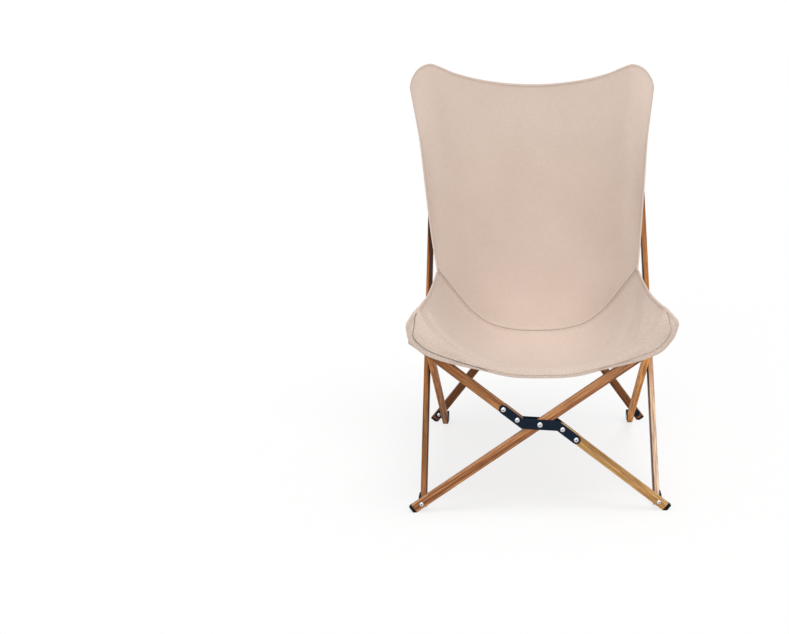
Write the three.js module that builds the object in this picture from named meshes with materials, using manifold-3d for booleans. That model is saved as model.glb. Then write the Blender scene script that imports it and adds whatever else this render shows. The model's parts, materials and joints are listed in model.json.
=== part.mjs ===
// Folding butterfly sling chair: flat hardwood bars, steel brackets and a hanging cloth sling.
// Millimetres, +Z up, the front faces -Y. Every number below is in the chair's own frame, whose
// Y = 0 is the middle of the front bars; the last lines centre the finished chair on its box.
import * as THREE from 'three';
import { mergeVertices } from 'three/addons/utils/BufferGeometryUtils.js';
import Module from 'manifold-3d';

const wasm = await Module();
wasm.setup();

// Frame layout
const SPAN = 520;
const PIN_HEIGHT = 20;
const SEAT_RISE = 365;
const POLE_SLOPE = THREE.MathUtils.degToRad(51.6);
const PIN_BACK = 36;
const POLE_INSET = 2;
const LEG_INSET = 18;

// Bars
const BAR_WIDTH = 20;
const BAR_THICK = 14;
const BAR_EDGE = 1.4;
const FOOT_CLEAR = 0.1;
const JOINT_END = 13;
const TIP_PAST_SEAT = 18;
const POLE_TIP_RISE = 880;

// Fasteners and sheet metal
const GAP = 0.3;
const SHEET = 2;
const PIN_R = 3;
const HOLE_R = PIN_R + GAP;
const HEAD_R = 5;
const PLATE_HEAD_R = 5.6;
const HEAD_H = 2.6;
const HEAD_RIM = 0.3;
const HEAD_SHOULDER = [0.6, 0.82];
const BRACKET_R = 10;
const ROUND = 12;

// Split cross bar: the two halves lie beside the pivot, so the whole bar nests between them
const HALF_ASIDE = 22;
const HALF_START = 31;
const PLATE_RIVETS = [45, 83];
const PLATE_BAND = 23;
const PLATE_ARM_HALF = 9.7;
const FRONT_PLATE_TURN = THREE.MathUtils.degToRad(-4);
const REAR_PLATE_TURN = THREE.MathUtils.degToRad(-20);
const BOLT_R = 4;
const BOLT_HEAD_R = 6.1;

// Foot caps: how far each reaches past its foot pin before the floor cuts it flat
const CAP_FRONT_BAR = 27;
const CAP_REAR_BAR = 22;
const CAP_POLE = 21.5;
const CAP_LEG = 24.6;
const CAP_EDGE = 0.8;

// Sling
const CLOTH = 2.4;
const POCKET_WALL = 2;
const POCKET_DEPTH = 62;
const SEAT_POCKET_LEAD = 10.6;
const CORNER_PAST_SEAT = 30;

// Sizes that follow from the ones above
const HALF_SPAN = SPAN / 2;
const POLE_X = HALF_SPAN - POLE_INSET;
const LEG_X = HALF_SPAN - LEG_INSET;
const FRONT_ANGLE = Math.atan2(SEAT_RISE, SPAN);
const FRONT_LENGTH = Math.hypot(SPAN, SEAT_RISE);
const REAR_RISE = SPAN * Math.tan(POLE_SLOPE);
const REAR_LENGTH = Math.hypot(SPAN, REAR_RISE);
const REAR_Y = PIN_BACK + SPAN + PIN_BACK;
const FOOT_Y = PIN_BACK + SPAN;
const SEAT_PIN_Z = PIN_HEIGHT + SEAT_RISE;
const REAR_PIN_Z = PIN_HEIGHT + REAR_RISE;
const HALF_THICK = BAR_THICK / 2;
const HALF_WIDTH = BAR_WIDTH / 2;

// How far past its foot pin a bar's wood goes before its lower corner comes near the floor
const footEnd = (angle) => (PIN_HEIGHT - FOOT_CLEAR - HALF_WIDTH * Math.cos(angle)) / Math.sin(angle);

const WOOD = { color: 0x8a5230, roughness: 0.45, metalness: 0 };
const STEEL = { color: 0x171c24, roughness: 0.42, metalness: 0.6 };
const RIVET = { color: 0xb9bcc0, roughness: 0.28, metalness: 0.95 };
const CAP = { color: 0x131313, roughness: 0.6, metalness: 0 };
const CANVAS = { color: 0xd3bea8, roughness: 0.92, metalness: 0 };

const chair = new THREE.Group();
chair.name = 'butterfly_sling_chair';

const vec = (x, y, z) => new THREE.Vector3(x, y, z);
const flat = (x, y) => new THREE.Vector2(x, y);

function add(name, geometry, look) {
  const mesh = new THREE.Mesh(geometry, new THREE.MeshStandardMaterial(look));
  mesh.name = name;
  chair.add(mesh);
}

// Closed surface with shared corners, as the booleans need it
function welded(geometry) {
  const bare = geometry.clone();
  bare.deleteAttribute('normal');
  bare.deleteAttribute('uv');
  return mergeVertices(bare, 1e-4);
}

function toSolid(geometry) {
  const bare = welded(geometry);
  return new wasm.Manifold(new wasm.Mesh({
    numProp: 3,
    vertProperties: new Float32Array(bare.attributes.position.array),
    triVerts: new Uint32Array(bare.index.array),
  }));
}

function toGeometry(solid) {
  const mesh = solid.getMesh();
  const geometry = new THREE.BufferGeometry();
  geometry.setAttribute('position', new THREE.BufferAttribute(new Float32Array(mesh.vertProperties), 3));
  geometry.setIndex(new THREE.BufferAttribute(new Uint32Array(mesh.triVerts), 1));
  return crisp(geometry);
}

function crisp(geometry) {
  const out = geometry.toNonIndexed();
  out.computeVertexNormals();
  return out;
}

function join(first, ...rest) {
  return toGeometry(rest.reduce((sum, g) => sum.add(toSolid(g)), toSolid(first)));
}

function cut(first, ...rest) {
  return toGeometry(rest.reduce((sum, g) => sum.subtract(toSolid(g)), toSolid(first)));
}

// Local frames: the first axis runs along a bar, the third is the axis of its rivets
function placeAt(origin, along, rivetAxis) {
  const across = rivetAxis.clone().cross(along);
  return new THREE.Matrix4().makeBasis(along, across, rivetAxis).setPosition(origin);
}

function crossPlace(x, y, z, angle, side) {
  const along = vec(side * Math.cos(angle), 0, Math.sin(angle));
  return placeAt(vec(x, y, z), along, vec(0, -1, 0));
}

function polePlace(x, y, z, angle, back) {
  const along = vec(0, back * Math.cos(angle), Math.sin(angle));
  return placeAt(vec(x, y, z), along, vec(1, 0, 0));
}

function circle(x, y, radius) {
  const path = new THREE.Path();
  for (let i = 0; i < ROUND; i += 1) {
    const turn = (2 * Math.PI * i) / ROUND;
    const p = flat(x + radius * Math.cos(turn), y + radius * Math.sin(turn));
    if (i === 0) path.moveTo(p.x, p.y);
    else path.lineTo(p.x, p.y);
  }
  path.closePath();
  return path;
}

// Flat piece: an outline with round holes, its thickness centred on the outline's plane
function slab(outline, holes, thick, edge) {
  const shape = new THREE.Shape(outline);
  holes.forEach((h) => shape.holes.push(circle(h.x, h.y, h.r)));
  const geometry = new THREE.ExtrudeGeometry(shape, {
    depth: thick - 2 * edge,
    bevelEnabled: edge > 0,
    bevelThickness: edge,
    bevelSize: edge,
    bevelOffset: -edge,
    bevelSegments: 1,
    steps: 1,
  });
  geometry.translate(0, 0, edge - thick / 2);
  return crisp(welded(geometry));
}

// Half ellipse on the X axis, counter-clockwise from the given turn
function halfRound(cx, reach, half, from) {
  const points = [];
  for (let i = 0; i <= ROUND / 2; i += 1) {
    const turn = from + (2 * Math.PI * i) / ROUND;
    points.push(flat(cx + reach * Math.cos(turn), half * Math.sin(turn)));
  }
  return points;
}

// Outline along +X from start to end; an end is square or rounded, and flatter on a short strip
function strip(start, end, half, roundStart, roundEnd) {
  const points = [];
  const reach = Math.min(half, end - start);
  if (roundEnd) points.push(...halfRound(end - reach, reach, half, -Math.PI / 2));
  else points.push(flat(end, -half), flat(end, half));
  if (roundStart) points.push(...halfRound(start + reach, reach, half, Math.PI / 2));
  else points.push(flat(start, half), flat(start, -half));
  return points;
}

function bar(place, start, end, roundStart, roundEnd, holes) {
  const outline = strip(start, end, HALF_WIDTH, roundStart, roundEnd);
  const piece = slab(outline, holes, BAR_THICK, BAR_EDGE);
  return piece.applyMatrix4(place);
}

const pinHole = (x, y = 0) => ({ x, y, r: HOLE_R });

// Rivet: domed head, shank and formed head in one turned piece along local Z
function rivet(from, to, shank, head, withFar = true) {
  const profile = [
    flat(0, from - GAP - HEAD_H),
    flat(head * HEAD_SHOULDER[0], from - GAP - HEAD_H * HEAD_SHOULDER[1]),
    flat(head, from - GAP - HEAD_H * HEAD_RIM),
    flat(head, from - GAP),
    flat(shank, from - GAP),
  ];
  if (withFar) {
    profile.push(
      flat(shank, to + GAP),
      flat(head, to + GAP),
      flat(head, to + GAP + HEAD_H * HEAD_RIM),
      flat(head * HEAD_SHOULDER[0], to + GAP + HEAD_H * HEAD_SHOULDER[1]),
      flat(0, to + GAP + HEAD_H),
    );
  } else {
    profile.push(flat(shank, to), flat(0, to));
  }
  const turned = new THREE.LatheGeometry(profile, ROUND);
  turned.rotateX(Math.PI / 2);
  return crisp(welded(turned));
}

const alongY = (g, x, y, z) => g.rotateX(-Math.PI / 2).translate(x, y, z);
const alongX = (g, x, y, z) => g.rotateY(Math.PI / 2).translate(x, y, z);

// Plate outline: an arm along each half bar, and a band that meets both arms at mitred corners
function plateOutline(turn) {
  const meet = (y, side) => flat((y * Math.cos(turn) + (side * PLATE_BAND) / 2) / Math.sin(turn), y);
  const round = PLATE_RIVETS[1] + BRACKET_R - PLATE_ARM_HALF;
  const end = halfRound(round, PLATE_ARM_HALF, PLATE_ARM_HALF, -Math.PI / 2);
  const half = [
    meet(HALF_ASIDE - PLATE_ARM_HALF, 1),
    ...end.map((p) => flat(p.x, p.y + HALF_ASIDE)),
    meet(HALF_ASIDE + PLATE_ARM_HALF, -1),
  ];
  return [...half, ...half.map((p) => flat(-p.x, -p.y))];
}

// Cross of two bars in an upright plane: one whole bar, one split bar and the plates of the split
function cross(name, y, angle, length, rise, topEnd, outward, plateTurn) {
  const halfLength = length / 2;
  const lean = Math.asin(HALF_ASIDE / halfLength);
  const pinAt = halfLength * Math.cos(lean);
  const middle = vec(0, y, PIN_HEIGHT + rise / 2);
  const whole = crossPlace(0, y, middle.z, angle, 1);
  add(`${name}_cross_bar`, bar(whole, -halfLength - footEnd(angle), halfLength + topEnd, false, true, [
    pinHole(-halfLength),
    { x: 0, y: 0, r: BOLT_R + GAP },
    pinHole(halfLength),
  ]), WOOD);

  const upper = crossPlace(0, y, middle.z, angle + lean, -1);
  const aside = new THREE.Matrix4().makeTranslation(0, HALF_ASIDE, 0);
  const upperPlace = upper.clone().multiply(aside);
  add(`${name}_split_bar_upper`, bar(upperPlace, HALF_START, pinAt + topEnd, true, true, [
    ...PLATE_RIVETS.map((s) => pinHole(s)),
    pinHole(pinAt),
  ]), WOOD);
  const halfTurn = new THREE.Matrix4().makeRotationZ(Math.PI);
  const lowerPlace = upper.clone().multiply(halfTurn).multiply(aside);
  add(`${name}_split_bar_lower`, bar(lowerPlace, HALF_START, pinAt + footEnd(angle + lean), true, false, [
    ...PLATE_RIVETS.map((s) => pinHole(s)),
    pinHole(pinAt),
  ]), WOOD);

  // Plate pair, one on each face of the bars
  const spots = [];
  [upperPlace, lowerPlace].forEach((place) => PLATE_RIVETS.forEach((s) => {
    spots.push(vec(s, 0, 0).applyMatrix4(place));
  }));
  const holes = PLATE_RIVETS.flatMap((s) => [pinHole(s, HALF_ASIDE), pinHole(-s, -HALF_ASIDE)]);
  holes.push({ x: 0, y: 0, r: BOLT_R + GAP });
  const plate = slab(plateOutline(angle + lean + plateTurn), holes, SHEET, 0).applyMatrix4(upper);
  const plateOut = HALF_THICK + GAP + SHEET / 2;
  const outer = plate.clone().translate(0, outward * plateOut, 0);
  const inner = plate.clone().translate(0, -outward * plateOut, 0);
  add(`${name}_plate_outer`, outer, STEEL);
  add(`${name}_plate_inner`, inner, STEEL);

  const grip = HALF_THICK + GAP + SHEET;
  add(`${name}_pivot_bolt`, alongY(rivet(-grip, grip, BOLT_R, BOLT_HEAD_R), 0, y, middle.z), RIVET);
  const names = ['upper_inner', 'upper_outer', 'lower_inner', 'lower_outer'];
  spots.forEach((p, i) => {
    const piece = rivet(-grip, grip, PIN_R, PLATE_HEAD_R);
    add(`${name}_plate_rivet_${names[i]}`, alongY(piece, p.x, y, p.z), RIVET);
  });
  return { upperPlace, lowerPlace, whole, halfLength, pinAt };
}

const front = cross('front', 0, FRONT_ANGLE, FRONT_LENGTH, SEAT_RISE, TIP_PAST_SEAT, -1, FRONT_PLATE_TURN);
const rear = cross('rear', REAR_Y, POLE_SLOPE, REAR_LENGTH, REAR_RISE, JOINT_END, 1, REAR_PLATE_TURN);

// Poles and side legs, each in an upright plane beside the crosses
const poleRear = SPAN / Math.cos(POLE_SLOPE);
const poleTip = POLE_TIP_RISE / Math.sin(POLE_SLOPE);
const legLength = FRONT_LENGTH;
[['left', -1], ['right', 1]].forEach(([side, s]) => {
  const pole = polePlace(s * POLE_X, PIN_BACK, PIN_HEIGHT, POLE_SLOPE, 1);
  add(`${side}_back_pole`, bar(pole, -footEnd(POLE_SLOPE), poleTip, false, true, [
    pinHole(0),
    pinHole(poleRear),
  ]), WOOD);
  const leg = polePlace(s * LEG_X, FOOT_Y, PIN_HEIGHT, FRONT_ANGLE, -1);
  add(`${side}_side_leg`, bar(leg, -footEnd(FRONT_ANGLE), legLength + JOINT_END, false, true, [
    pinHole(0),
    pinHole(legLength),
  ]), WOOD);
});

// Corner bracket: one leg flat on the cross bar, the other flat on the pole or side leg
function bracket(s, poleX, outside, barY, inward, pinY, z, barHole, poleHole) {
  const legX = poleX + outside * (HALF_THICK + GAP + SHEET / 2);
  const faceY = barY + inward * (HALF_THICK + GAP + SHEET / 2);
  const cornerX = legX + outside * (SHEET / 2);
  const cornerY = faceY - inward * (SHEET / 2);
  const reachX = Math.abs(cornerX - HALF_SPAN);
  const towardsPin = Math.sign(HALF_SPAN - cornerX);
  const barHoles = barHole ? [pinHole(reachX)] : [];
  const barLeg = slab(strip(0, reachX + BRACKET_R, BRACKET_R, false, true), barHoles, SHEET, 0);
  barLeg.applyMatrix4(placeAt(vec(cornerX, faceY, z), vec(towardsPin, 0, 0), vec(0, -1, 0)));
  const reachY = Math.abs(pinY - cornerY);
  const poleHoles = poleHole ? [pinHole(reachY)] : [];
  const sideLeg = slab(strip(0, reachY + BRACKET_R, BRACKET_R, false, true), poleHoles, SHEET, 0);
  sideLeg.applyMatrix4(placeAt(vec(legX, cornerY, z), vec(0, Math.sign(pinY - cornerY), 0), vec(1, 0, 0)));
  const whole = join(barLeg, sideLeg);
  return s < 0 ? mirrored(whole) : whole;
}

function mirrored(geometry) {
  const bare = welded(geometry).scale(-1, 1, 1);
  const index = bare.index.array;
  for (let i = 0; i < index.length; i += 3) {
    const keep = index[i];
    index[i] = index[i + 1];
    index[i + 1] = keep;
  }
  return crisp(bare);
}

// Rivet through a bar and its bracket leg, along Y
function barRivet(s, barY, inward, z, withFar = true) {
  const near = HALF_THICK;
  const far = withFar ? HALF_THICK + GAP + SHEET : HALF_THICK;
  const piece = rivet(-near, far, PIN_R, HEAD_R, withFar);
  if (inward < 0) piece.rotateX(Math.PI);
  return alongY(piece, s * HALF_SPAN, barY, z);
}

function poleRivet(s, poleX, outside, pinY, z) {
  const piece = rivet(-HALF_THICK, HALF_THICK + GAP + SHEET, PIN_R, HEAD_R);
  if (s * outside < 0) piece.rotateX(Math.PI);
  return alongX(piece, s * poleX, pinY, z);
}

[['left', -1], ['right', 1]].forEach(([side, s]) => {
  // Front foot: separate rivets
  add(`front_${side}_foot_bracket`, bracket(s, POLE_X, 1, 0, 1, PIN_BACK, PIN_HEIGHT, true, true), STEEL);
  add(`front_${side}_bar_rivet`, barRivet(s, 0, 1, PIN_HEIGHT), RIVET);
  add(`front_${side}_pole_rivet`, poleRivet(s, POLE_X, 1, PIN_BACK, PIN_HEIGHT), RIVET);

  // Rear foot: separate rivets; the right bar rivet stays in its bar
  const rearFoot = bracket(s, LEG_X, -1, REAR_Y, -1, FOOT_Y, PIN_HEIGHT, s < 0, true);
  add(`rear_${side}_foot_bracket`, rearFoot, STEEL);
  add(`rear_${side}_bar_rivet`, barRivet(s, REAR_Y, -1, PIN_HEIGHT, s < 0), RIVET);
  add(`rear_${side}_leg_rivet`, poleRivet(s, LEG_X, -1, FOOT_Y, PIN_HEIGHT), RIVET);

  // Seat corner: a bracket in one piece with its two rivets
  const seat = bracket(s, LEG_X, -1, 0, 1, PIN_BACK, SEAT_PIN_Z, false, false);
  const seatBar = barRivet(s, 0, 1, SEAT_PIN_Z);
  const seatLeg = poleRivet(s, LEG_X, -1, PIN_BACK, SEAT_PIN_Z);
  add(`seat_${side}_bracket`, join(seat, seatBar, seatLeg), STEEL);

  // Back: a bracket in one piece with its pole rivet; the bar's rivet stays in its bar
  const back = bracket(s, POLE_X, 1, REAR_Y, -1, FOOT_Y, REAR_PIN_Z, false, false);
  const backPole = poleRivet(s, POLE_X, 1, FOOT_Y, REAR_PIN_Z);
  add(`back_${side}_bracket`, join(back, backPole), STEEL);
  add(`back_${side}_bar_rivet`, barRivet(s, REAR_Y, -1, REAR_PIN_Z, false), RIVET);
});

// Foot cap: continues its bar from the bar's end to the floor, where it is cut flat
function footCap(pin, along, rivetAxis, reach) {
  const place = placeAt(pin, along, rivetAxis);
  const height = (p) => vec(p.x, p.y, 0).applyMatrix4(place).z;
  const start = footEnd(Math.asin(-along.z)) + GAP;
  const corners = strip(start, reach, HALF_WIDTH, false, false);
  const outline = [];
  corners.forEach((p, i) => {
    const next = corners[(i + 1) % corners.length];
    const low = height(p);
    const nextLow = height(next);
    if (low >= 0) outline.push(p);
    if (low * nextLow < 0) outline.push(p.clone().lerp(next, low / (low - nextLow)));
  });
  return slab(outline, [], BAR_THICK, CAP_EDGE).applyMatrix4(place);
}

const down = (place, sign) => vec(sign, 0, 0).transformDirection(place);
[['front', front, 0, CAP_FRONT_BAR], ['rear', rear, REAR_Y, CAP_REAR_BAR]].forEach(([name, x, y, reach]) => {
  const left = vec(-HALF_SPAN, y, PIN_HEIGHT);
  const right = vec(HALF_SPAN, y, PIN_HEIGHT);
  add(`${name}_cross_bar_foot`, footCap(left, down(x.whole, -1), vec(0, -1, 0), reach), CAP);
  add(`${name}_split_bar_foot`, footCap(right, down(x.lowerPlace, 1), vec(0, -1, 0), reach), CAP);
});
[['left', -1], ['right', 1]].forEach(([side, s]) => {
  const poleDown = vec(0, -Math.cos(POLE_SLOPE), -Math.sin(POLE_SLOPE));
  const legDown = vec(0, Math.cos(FRONT_ANGLE), -Math.sin(FRONT_ANGLE));
  const polePin = vec(s * POLE_X, PIN_BACK, PIN_HEIGHT);
  const legPin = vec(s * LEG_X, FOOT_Y, PIN_HEIGHT);
  add(`${side}_back_pole_foot`, footCap(polePin, poleDown, vec(1, 0, 0), CAP_POLE), CAP);
  add(`${side}_side_leg_foot`, footCap(legPin, legDown, vec(1, 0, 0), CAP_LEG), CAP);
});

// Pockets: a cloth sleeve over each pole tip and over each upper end of the front cross
function pocket(place, from, tip) {
  const wall = GAP + POCKET_WALL;
  const outer = strip(from, tip + wall, HALF_WIDTH + wall, false, true);
  const inner = strip(from - 1, tip + GAP, HALF_WIDTH + GAP, false, true);
  const skin = slab(outer, [], BAR_THICK + 2 * wall, POCKET_WALL / 2);
  const room = slab(inner, [], BAR_THICK + 2 * GAP, 0);
  return cut(skin, room).applyMatrix4(place);
}

[['left', -1], ['right', 1]].forEach(([side, s]) => {
  const pole = polePlace(s * POLE_X, PIN_BACK, PIN_HEIGHT, POLE_SLOPE, 1);
  add(`sling_top_${side}_pocket`, pocket(pole, poleTip - POCKET_DEPTH, poleTip), CANVAS);
});
const tipRight = front.halfLength + TIP_PAST_SEAT;
const tipLeft = front.pinAt + TIP_PAST_SEAT;
const rightPocket = pocket(front.whole, front.halfLength + SEAT_POCKET_LEAD, tipRight);
const leftPocket = pocket(front.upperPlace, front.pinAt + SEAT_POCKET_LEAD, tipLeft);
add('sling_seat_right_pocket', rightPocket, CANVAS);
add('sling_seat_left_pocket', leftPocket, CANVAS);

// Sling lines, each given from the middle of the chair to its right edge and mirrored to the left.
// The sling hangs between the corners past the front cross and the tips of the poles. A point is a share
// of their half width, a share of the way from a seat corner to its pole tip, and a drop square to that.
const TOP_EDGE = [
  [0, 0.988, 34], [0.271, 0.988, 29], [0.542, 0.989, 16], [0.775, 0.993, -2], [0.915, 0.998, -18],
  [1.01, 0.996, -28.5], [1.115, 0.977, -26], [1.174, 0.949, -14], [1.19, 0.924, -2.5],
];
const SEAM = [
  [0, 0.306, 311], [0.217, 0.306, 306], [0.416, 0.307, 285], [0.572, 0.314, 245], [0.68, 0.319, 196],
  [0.77, 0.319, 143], [0.845, 0.315, 95.5],
];
const CREST = [
  [0, -0.039, 83], [0.245, -0.038, 78], [0.456, -0.03, 60.5], [0.667, -0.015, 34.5], [0.801, 0, 10],
  [0.901, 0.012, -9], [1.004, 0.02, -26.5],
];
const FRONT_EDGE = [
  [0, -0.0585, 84.5], [0.245, -0.058, 80], [0.455, -0.0535, 62.5], [0.665, -0.05, 44.5],
  [0.805, -0.0445, 31], [0.904, -0.035, 20], [0.978, -0.02, 1], [1.012, 0.003, -24.5],
];
const BACK_SIDE = [
  [1.19, 0.924, -2.5], [1.121, 0.822, 16], [1.062, 0.735, 33], [1.004, 0.621, 62], [0.927, 0.468, 104.5],
  [0.845, 0.315, 95.5],
];
const SEAT_SIDE = [
  [0.845, 0.315, 95.5], [0.862, 0.243, 70.5], [0.89, 0.163, 36.5], [0.942, 0.084, -2.5],
  [1.004, 0.02, -26.5],
];
const BACK_MIDDLE = [
  [0, 0.988, 34], [0, 0.868, 95.5], [0, 0.723, 169], [0, 0.574, 239], [0, 0.438, 288.5], [0, 0.306, 311],
];
const SEAT_MIDDLE = [
  [0, 0.306, 311], [0, 0.203, 269.5], [0, 0.092, 200.5], [0, 0.009, 130.5], [0, -0.039, 83],
];
const COLUMNS = 13;
const BACK_ROWS = 18;
const SEAT_ROWS = 13;
const HEM_ROWS = 4;

const seatCorner = vec(front.halfLength + CORNER_PAST_SEAT, 0, 0).applyMatrix4(front.whole);
const backTip = vec(POLE_X, PIN_BACK + POLE_TIP_RISE / Math.tan(POLE_SLOPE), PIN_HEIGHT + POLE_TIP_RISE);
const dropWay = vec(0, backTip.z - seatCorner.z, seatCorner.y - backTip.y).normalize();

function hung([across, along, drop]) {
  const p = seatCorner.clone().lerp(backTip, along).addScaledVector(dropWay, drop);
  return vec(p.x * across, p.y, p.z);
}

const curve = (points) => new THREE.CatmullRomCurve3(points, false, 'centripetal');

// Curve that crosses the chair's middle, so that it is level there
function acrossCurve(points) {
  const half = points.map(hung);
  const mirror = half.slice(1).reverse().map((p) => vec(-p.x, p.y, p.z));
  const whole = curve([...mirror, ...half]);
  return (u) => whole.getPointAt(0.5 + u / 2);
}

const alongCurve = (points) => {
  const line = curve(points.map(hung));
  return (s) => line.getPointAt(s);
};

// Surface through four border curves, level across the chair's middle
function between(first, last, middleLine, sideLine) {
  return (u, s) => {
    const w = u * u;
    const rows = first(u).multiplyScalar(1 - s).addScaledVector(last(u), s);
    const columns = middleLine(s).multiplyScalar(1 - w).addScaledVector(sideLine(s), w);
    const corners = first(0).multiplyScalar((1 - w) * (1 - s))
      .addScaledVector(first(1), w * (1 - s))
      .addScaledVector(last(0), (1 - w) * s)
      .addScaledVector(last(1), w * s);
    return rows.add(columns).sub(corners);
  };
}

const topEdge = acrossCurve(TOP_EDGE);
const seam = acrossCurve(SEAM);
const crest = acrossCurve(CREST);
const frontEdge = acrossCurve(FRONT_EDGE);
const backPatch = between(topEdge, seam, alongCurve(BACK_MIDDLE), alongCurve(BACK_SIDE));
const seatPatch = between(seam, crest, alongCurve(SEAT_MIDDLE), alongCurve(SEAT_SIDE));

// The hem rolls over the crest and hangs down to the front edge
function hemPatch(u, s) {
  const a = crest(u);
  const c = frontEdge(u);
  const b = vec((a.x + c.x) / 2, c.y, a.z);
  return a.multiplyScalar((1 - s) ** 2).addScaledVector(b, 2 * s * (1 - s)).addScaledVector(c, s * s);
}

// Grid of the whole sling: one line of points per row, from the left edge to the right one
function rowOf(patch, s) {
  const line = [];
  for (let i = -COLUMNS; i <= COLUMNS; i += 1) {
    const p = patch(Math.abs(i) / COLUMNS, s);
    line.push(vec(Math.sign(i) * p.x, p.y, p.z));
  }
  return line;
}

const grid = [];
for (let i = 0; i <= BACK_ROWS; i += 1) grid.push(rowOf(backPatch, i / BACK_ROWS));
for (let i = 1; i <= SEAT_ROWS; i += 1) grid.push(rowOf(seatPatch, i / SEAT_ROWS));
for (let i = 1; i <= HEM_ROWS; i += 1) grid.push(rowOf(hemPatch, i / HEM_ROWS));

function gridNormal(r, c) {
  const up = grid[Math.max(r - 1, 0)][c];
  const below = grid[Math.min(r + 1, grid.length - 1)][c];
  const before = grid[r][Math.max(c - 1, 0)];
  const after = grid[r][Math.min(c + 1, grid[r].length - 1)];
  const run = below.clone().sub(up);
  return run.cross(after.clone().sub(before)).normalize();
}

// Cloth panel from one grid row to another, with the cloth's thickness; an end row can be set back
function panel(from, to, trimFrom, trimTo) {
  const points = [];
  const width = grid[0].length;
  const faces = [];
  [1, -1].forEach((side) => {
    for (let r = from; r <= to; r += 1) {
      for (let c = 0; c < width; c += 1) {
        const p = grid[r][c].clone().addScaledVector(gridNormal(r, c), (side * CLOTH) / 2);
        const inner = grid[r === from ? r + 1 : r - 1][c];
        const step = inner.clone().sub(grid[r][c]).normalize();
        if (r === from) p.addScaledVector(step, trimFrom);
        if (r === to) p.addScaledVector(step, trimTo);
        points.push(p.x, p.y, p.z);
      }
    }
  });
  const rows = to - from;
  const far = (rows + 1) * width;
  const quad = (a, b, c, d) => faces.push(a, b, c, a, c, d);
  const at = (r, c) => r * width + c;
  for (let r = 0; r < rows; r += 1) {
    for (let c = 0; c < width - 1; c += 1) {
      quad(at(r, c), at(r + 1, c), at(r + 1, c + 1), at(r, c + 1));
      quad(far + at(r, c), far + at(r, c + 1), far + at(r + 1, c + 1), far + at(r + 1, c));
    }
    quad(at(r, 0), far + at(r, 0), far + at(r + 1, 0), at(r + 1, 0));
    const e = width - 1;
    quad(at(r, e), at(r + 1, e), far + at(r + 1, e), far + at(r, e));
  }
  for (let c = 0; c < width - 1; c += 1) {
    quad(at(0, c), at(0, c + 1), far + at(0, c + 1), far + at(0, c));
    quad(at(rows, c), far + at(rows, c), far + at(rows, c + 1), at(rows, c + 1));
  }
  const geometry = new THREE.BufferGeometry();
  geometry.setAttribute('position', new THREE.Float32BufferAttribute(points, 3));
  geometry.setIndex(faces);
  return crisp(geometry);
}

add('sling_back_panel', panel(0, BACK_ROWS, 0, GAP / 2), CANVAS);
add('sling_seat_panel', panel(BACK_ROWS, grid.length - 1, GAP / 2, 0), CANVAS);

const box = new THREE.Box3().setFromObject(chair);
const centre = box.getCenter(vec(0, 0, 0));
chair.children.forEach((mesh) => mesh.geometry.translate(-centre.x, -centre.y, -box.min.z));

export default chair;
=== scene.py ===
# %% [markdown]
# # Folding sling chair
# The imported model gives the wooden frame, its brackets and its joints. This script dresses it: grain on
# the bars, paint on the plates, turned rivet heads, and a canvas sling with its hems, seam, pockets and
# stitches.

# %%
import json
import math

import bmesh
import bpy
import numpy as np
from mathutils import Matrix, Quaternion, Vector, noise


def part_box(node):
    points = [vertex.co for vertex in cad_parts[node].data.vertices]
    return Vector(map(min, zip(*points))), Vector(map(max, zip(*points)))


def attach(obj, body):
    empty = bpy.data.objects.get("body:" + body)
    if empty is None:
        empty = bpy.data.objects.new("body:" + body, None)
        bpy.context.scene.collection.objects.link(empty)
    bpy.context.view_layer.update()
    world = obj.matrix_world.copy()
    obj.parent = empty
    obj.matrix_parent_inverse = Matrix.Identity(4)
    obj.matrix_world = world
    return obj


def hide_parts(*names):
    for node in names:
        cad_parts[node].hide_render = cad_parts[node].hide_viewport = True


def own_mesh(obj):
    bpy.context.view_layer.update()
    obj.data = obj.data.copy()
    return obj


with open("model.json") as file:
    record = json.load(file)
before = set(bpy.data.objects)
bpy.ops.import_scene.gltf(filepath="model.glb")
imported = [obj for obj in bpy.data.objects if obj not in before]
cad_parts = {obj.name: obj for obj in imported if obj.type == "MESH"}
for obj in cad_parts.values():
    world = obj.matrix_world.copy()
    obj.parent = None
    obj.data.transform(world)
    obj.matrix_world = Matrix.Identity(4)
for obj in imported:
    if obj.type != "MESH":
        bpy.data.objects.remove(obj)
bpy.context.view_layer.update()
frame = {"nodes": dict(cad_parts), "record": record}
nodes = frame["nodes"]

# %% [markdown]
# ## Camera
# The camera stands in front of the chair, a little higher than its top, and looks down by 15 degrees. The
# chair stands right of the picture's middle, so the lens is shifted by that much.

# %%
PICTURE_WIDTH = 789
FOCAL = 1271.7
PRINCIPAL_X = 538.1
SENSOR = 36.0
CAMERA_X, CAMERA_AWAY, CAMERA_HEIGHT = -0.0267, 2.5937, 1.1336
TURN, TILT, ROLL = -0.00923, 0.26111, -0.00508
FRONT_Y = (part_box("front_cross_bar")[0].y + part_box("front_cross_bar")[1].y) / 2

camera_data = bpy.data.cameras.new("camera")
camera_data.sensor_width = SENSOR
camera_data.sensor_fit = "HORIZONTAL"
camera_data.lens = FOCAL / PICTURE_WIDTH * SENSOR
camera_data.shift_x = (PICTURE_WIDTH / 2 - PRINCIPAL_X) / PICTURE_WIDTH
camera = bpy.data.objects.new("camera", camera_data)
bpy.context.collection.objects.link(camera)
camera.location = (CAMERA_X, FRONT_Y - CAMERA_AWAY, CAMERA_HEIGHT)
forward = Vector((-math.sin(TURN) * math.cos(TILT), math.cos(TURN) * math.cos(TILT), -math.sin(TILT)))
camera.rotation_mode = "QUATERNION"
camera.rotation_quaternion = forward.to_track_quat("-Z", "Y") @ Quaternion((0, 0, 1), ROLL)
bpy.context.scene.camera = camera

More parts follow.
